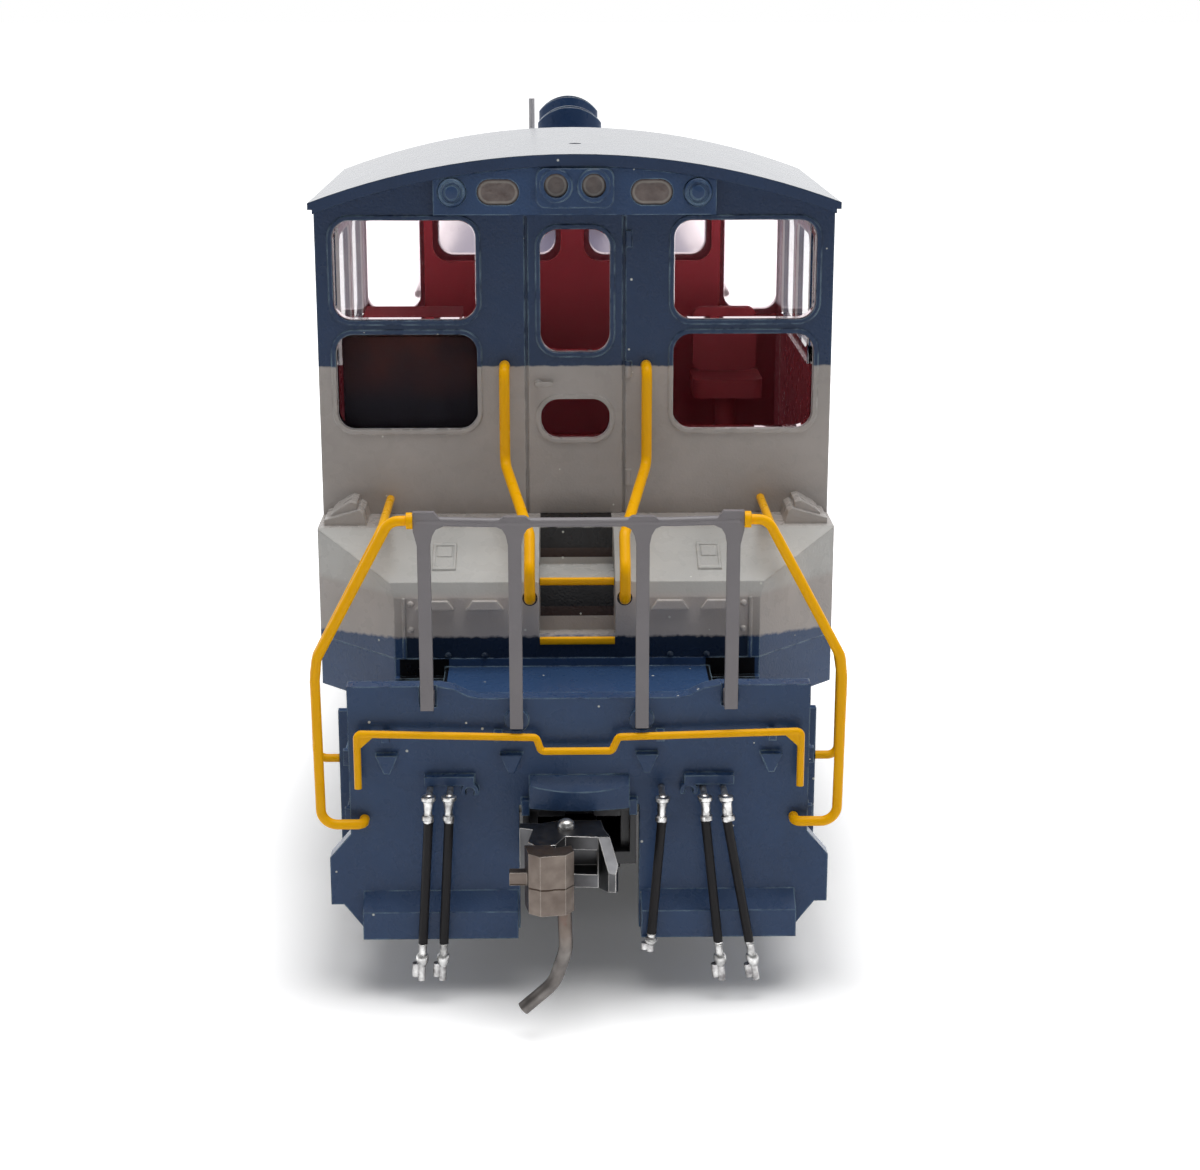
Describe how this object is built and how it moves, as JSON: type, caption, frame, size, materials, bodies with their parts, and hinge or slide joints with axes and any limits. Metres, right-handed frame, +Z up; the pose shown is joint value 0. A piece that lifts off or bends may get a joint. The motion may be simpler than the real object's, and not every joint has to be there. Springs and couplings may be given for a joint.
{
  "type": "model diesel locomotive",
  "caption": "HO scale end-cab diesel switching locomotive model with swivelling geared trucks, turning wheels, centre motor drive and swinging knuckle couplers.",
  "frame": {"origin": "centre of the model's bounding box in X and Y, at the lowest point of the wheel flanges", "axes": "+Y towards the hood end along the track, +X to the right seen from the cab end, +Z up"},
  "size_m": [0.0354, 0.1674, 0.0521],
  "materials": {
    "blackened_zinc": "matt black on zinc",
    "grey_paint": "satin warm grey paint on moulded styrene",
    "blue_paint": "satin dark blue paint on moulded styrene",
    "black_plastic": "matt black moulding",
    "truck_paint": "matt dark grey moulding",
    "motor_steel": "plated steel",
    "soft_mount": "soft black rubber",
    "board_green": "circuit board",
    "clear_plastic": "clear styrene",
    "lens_clear": "clear styrene",
    "interior_red": "dark red moulding",
    "brass_bell": "turned brass",
    "grey_rail": "engineering plastic, purple-grey",
    "yellow_paint": "glossy yellow engineering plastic",
    "hose_rubber": "black rubber with painted fittings",
    "flywheel_brass": "turned brass",
    "gear_plastic": "acetal",
    "coupler_bronze": "browned cast zinc",
    "worm_brass": "brass",
    "wheel_nickel": "nickel plated"
  },
  "bodies": {
    "chassis": {"chassis_frame": "blackened_zinc", "running_board": "blue_paint", "rear_pilot": "blue_paint", "front_pilot": "blue_paint", "step_wells": "blue_paint", "fuel_tank": "black_plastic", "air_reservoirs": "black_plastic", "motor_case": "motor_steel", "motor_cradle": "soft_mount", "circuit_board": "board_green", "cab_base": "grey_paint", "cab_shell": "blue_paint", "cab_roof": "blue_paint", "cab_windows": "clear_plastic", "cab_interior": "interior_red", "light_boards": "blue_paint", "lamp_lenses": "lens_clear", "hood_shell": "blue_paint", "radiator_shutters": "blue_paint", "radiator_fan": "blue_paint", "exhaust_stacks": "blue_paint", "antenna": "blue_paint", "bell": "brass_bell", "horn": "blue_paint", "end_railings": "grey_rail", "corner_handrails": "yellow_paint", "door_handrails": "yellow_paint", "hood_handrails": "grey_rail", "cut_levers": "yellow_paint", "brake_hoses": "hose_rubber", "coupler_pockets": "black_plastic"},
    "motor_rotor": {"motor_armature": "motor_steel", "flywheels": "flywheel_brass", "drive_shafts": "gear_plastic"},
    "rear_truck": {"rear_gearbox": "black_plastic", "rear_worm_cover": "black_plastic", "rear_sideframes": "truck_paint"},
    "rear_worm": {"rear_worm": "worm_brass"},
    "rear_worm_gear": {"rear_worm_gear": "gear_plastic"},
    "rear_outer_idler_gear": {"rear_outer_idler_gear": "gear_plastic"},
    "rear_outer_wheelset": {"rear_outer_axle": "gear_plastic", "rear_outer_wheels": "wheel_nickel"},
    "rear_inner_idler_gear": {"rear_inner_idler_gear": "gear_plastic"},
    "rear_inner_wheelset": {"rear_inner_axle": "gear_plastic", "rear_inner_wheels": "wheel_nickel"},
    "rear_coupler": {"rear_coupler": "coupler_bronze"},
    "rear_knuckle": {"rear_knuckle": "coupler_bronze"},
    "front_truck": {"front_gearbox": "black_plastic", "front_worm_cover": "black_plastic", "front_sideframes": "truck_paint"},
    "front_worm": {"front_worm": "worm_brass"},
    "front_worm_gear": {"front_worm_gear": "gear_plastic"},
    "front_outer_idler_gear": {"front_outer_idler_gear": "gear_plastic"},
    "front_outer_wheelset": {"front_outer_axle": "gear_plastic", "front_outer_wheels": "wheel_nickel"},
    "front_inner_idler_gear": {"front_inner_idler_gear": "gear_plastic"},
    "front_inner_wheelset": {"front_inner_axle": "gear_plastic", "front_inner_wheels": "wheel_nickel"},
    "front_coupler": {"front_coupler": "coupler_bronze"},
    "front_knuckle": {"front_knuckle": "coupler_bronze"}
  },
  "joints": [
    {"name": "motor_spin", "type": "hinge", "parent": "chassis", "child": "motor_rotor", "pos_m": [0, 0, 0.01817], "axis": [0, 1, 0], "continuous": true},
    {"name": "rear_truck_swivel", "type": "hinge", "parent": "chassis", "child": "rear_truck", "pos_m": [0, -0.0423, 0.0145], "axis": [0, 0, 1], "range_deg": [-6, 6]},
    {"name": "rear_worm_spin", "type": "hinge", "parent": "rear_truck", "child": "rear_worm", "pos_m": [0, -0.0423, 0.01817], "axis": [0, 1, 0], "continuous": true},
    {"name": "rear_worm_gear_spin", "type": "hinge", "parent": "rear_truck", "child": "rear_worm_gear", "pos_m": [0, -0.0423, 0.01097], "axis": [1, 0, 0], "continuous": true},
    {"name": "rear_outer_idler_spin", "type": "hinge", "parent": "rear_truck", "child": "rear_outer_idler_gear", "pos_m": [0, -0.05087, 0.0075], "axis": [1, 0, 0], "continuous": true},
    {"name": "rear_outer_wheelset_spin", "type": "hinge", "parent": "rear_truck", "child": "rear_outer_wheelset", "pos_m": [0, -0.05805, 0.00647], "axis": [1, 0, 0], "continuous": true},
    {"name": "rear_inner_idler_spin", "type": "hinge", "parent": "rear_truck", "child": "rear_inner_idler_gear", "pos_m": [0, -0.03373, 0.0075], "axis": [1, 0, 0], "continuous": true},
    {"name": "rear_inner_wheelset_spin", "type": "hinge", "parent": "rear_truck", "child": "rear_inner_wheelset", "pos_m": [0, -0.02655, 0.00647], "axis": [1, 0, 0], "continuous": true},
    {"name": "rear_coupler_swing", "type": "hinge", "parent": "chassis", "child": "rear_coupler", "pos_m": [0, -0.0707, 0.01045], "axis": [0, 0, 1], "range_deg": [-10, 10], "stiffness_Nm_per_rad": 0.002},
    {"name": "rear_knuckle_swing", "type": "hinge", "parent": "rear_coupler", "child": "rear_knuckle", "pos_m": [-0.0023, -0.0805, 0.01045], "axis": [0, 0, -1], "range_deg": [0, 25], "stiffness_Nm_per_rad": 0.001},
    {"name": "front_truck_swivel", "type": "hinge", "parent": "chassis", "child": "front_truck", "pos_m": [0, 0.0423, 0.0145], "axis": [0, 0, 1], "range_deg": [-6, 6]},
    {"name": "front_worm_spin", "type": "hinge", "parent": "front_truck", "child": "front_worm", "pos_m": [0, 0.0423, 0.01817], "axis": [0, 1, 0], "continuous": true},
    {"name": "front_worm_gear_spin", "type": "hinge", "parent": "front_truck", "child": "front_worm_gear", "pos_m": [0, 0.0423, 0.01097], "axis": [1, 0, 0], "continuous": true},
    {"name": "front_outer_idler_spin", "type": "hinge", "parent": "front_truck", "child": "front_outer_idler_gear", "pos_m": [0, 0.05087, 0.0075], "axis": [1, 0, 0], "continuous": true},
    {"name": "front_outer_wheelset_spin", "type": "hinge", "parent": "front_truck", "child": "front_outer_wheelset", "pos_m": [0, 0.05805, 0.00647], "axis": [1, 0, 0], "continuous": true},
    {"name": "front_inner_idler_spin", "type": "hinge", "parent": "front_truck", "child": "front_inner_idler_gear", "pos_m": [0, 0.03373, 0.0075], "axis": [1, 0, 0], "continuous": true},
    {"name": "front_inner_wheelset_spin", "type": "hinge", "parent": "front_truck", "child": "front_inner_wheelset", "pos_m": [0, 0.02655, 0.00647], "axis": [1, 0, 0], "continuous": true},
    {"name": "front_coupler_swing", "type": "hinge", "parent": "chassis", "child": "front_coupler", "pos_m": [0, 0.0707, 0.01045], "axis": [0, 0, 1], "range_deg": [-10, 10], "stiffness_Nm_per_rad": 0.002},
    {"name": "front_knuckle_swing", "type": "hinge", "parent": "front_coupler", "child": "front_knuckle", "pos_m": [0.0023, 0.0805, 0.01045], "axis": [0, 0, -1], "range_deg": [0, 25], "stiffness_Nm_per_rad": 0.001}
  ],
  "couplings": [
    {"joint": "rear_worm_spin", "follows": "motor_spin", "ratio": 1},
    {"joint": "rear_worm_gear_spin", "follows": "motor_spin", "ratio": 0.05},
    {"joint": "rear_outer_idler_spin", "follows": "motor_spin", "ratio": -0.058824},
    {"joint": "rear_outer_wheelset_spin", "follows": "motor_spin", "ratio": 0.083333},
    {"joint": "rear_inner_idler_spin", "follows": "motor_spin", "ratio": -0.058824},
    {"joint": "rear_inner_wheelset_spin", "follows": "motor_spin", "ratio": 0.083333},
    {"joint": "front_worm_spin", "follows": "motor_spin", "ratio": 1},
    {"joint": "front_worm_gear_spin", "follows": "motor_spin", "ratio": 0.05},
    {"joint": "front_outer_idler_spin", "follows": "motor_spin", "ratio": -0.058824},
    {"joint": "front_outer_wheelset_spin", "follows": "motor_spin", "ratio": 0.083333},
    {"joint": "front_inner_idler_spin", "follows": "motor_spin", "ratio": -0.058824},
    {"joint": "front_inner_wheelset_spin", "follows": "motor_spin", "ratio": 0.083333}
  ]
}
